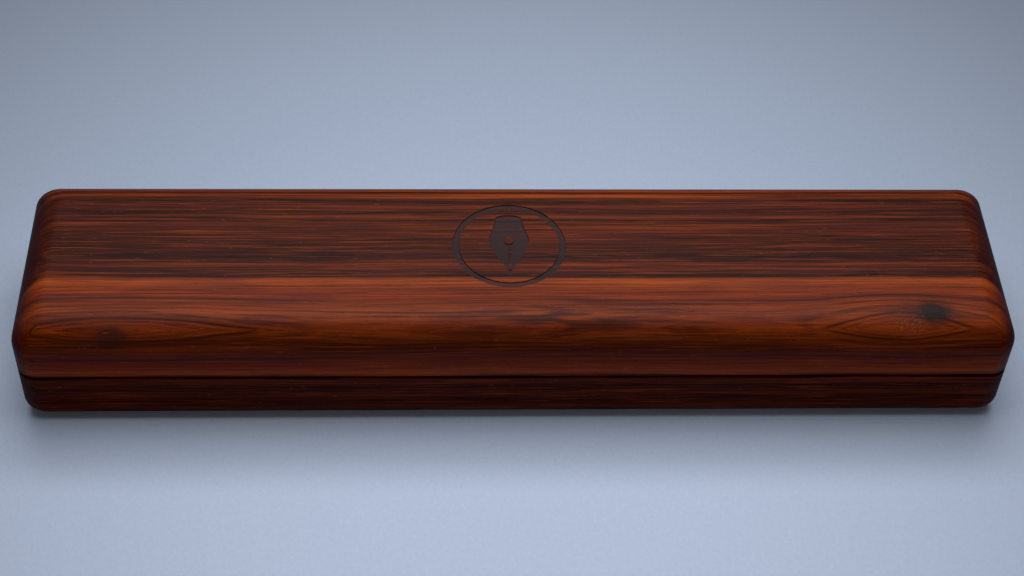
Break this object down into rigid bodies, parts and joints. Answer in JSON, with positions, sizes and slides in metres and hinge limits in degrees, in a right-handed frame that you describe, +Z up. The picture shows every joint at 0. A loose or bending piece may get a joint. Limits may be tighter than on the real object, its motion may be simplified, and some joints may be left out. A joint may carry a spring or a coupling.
{
  "type": "fountain pen case",
  "caption": "Hinged rectangular hardwood case for a fountain pen: routed, rounded halves on brass butt hinges, held shut by magnets, with a grooved velvet bed and a padded lid.",
  "frame": {"origin": "centre of the underside, on the surface that the case stands on", "axes": "+X along the case's length, +Y from the front to the hinge side, +Z up through the lid"},
  "size_m": [0.19, 0.0414, 0.0256],
  "materials": {
    "rosewood": "hand-rubbed oil, satin",
    "brass": "brushed",
    "brass_screw": "turned",
    "nickel": "nickel plated, satin",
    "velvet": "short pile",
    "foam": "closed cell",
    "board": "matt"
  },
  "bodies": {
    "base": {"base_shell": "rosewood", "base_board": "board", "pen_bed_foam": "foam", "pen_bed_velvet": "velvet", "hinge_left_base_leaf": "brass", "hinge_left_pin": "brass", "hinge_left_base_screw_1": "brass_screw", "hinge_left_base_screw_2": "brass_screw", "hinge_right_base_leaf": "brass", "hinge_right_pin": "brass", "hinge_right_base_screw_1": "brass_screw", "hinge_right_base_screw_2": "brass_screw", "magnet_left_base": "nickel", "magnet_right_base": "nickel"},
    "lid": {"lid_shell": "rosewood", "lid_board": "board", "lid_pad_foam": "foam", "lid_pad_velvet": "velvet", "hinge_left_lid_leaf": "brass", "hinge_left_lid_screw_1": "brass_screw", "hinge_left_lid_screw_2": "brass_screw", "hinge_right_lid_leaf": "brass", "hinge_right_lid_screw_1": "brass_screw", "hinge_right_lid_screw_2": "brass_screw", "magnet_left_lid": "nickel", "magnet_right_lid": "nickel"}
  },
  "joints": [
    {"name": "lid_hinge", "type": "hinge", "parent": "base", "child": "lid", "pos_m": [0, 0.01885, 0.0125], "axis": [-1, 0, 0], "range_deg": [0, 100]}
  ]
}
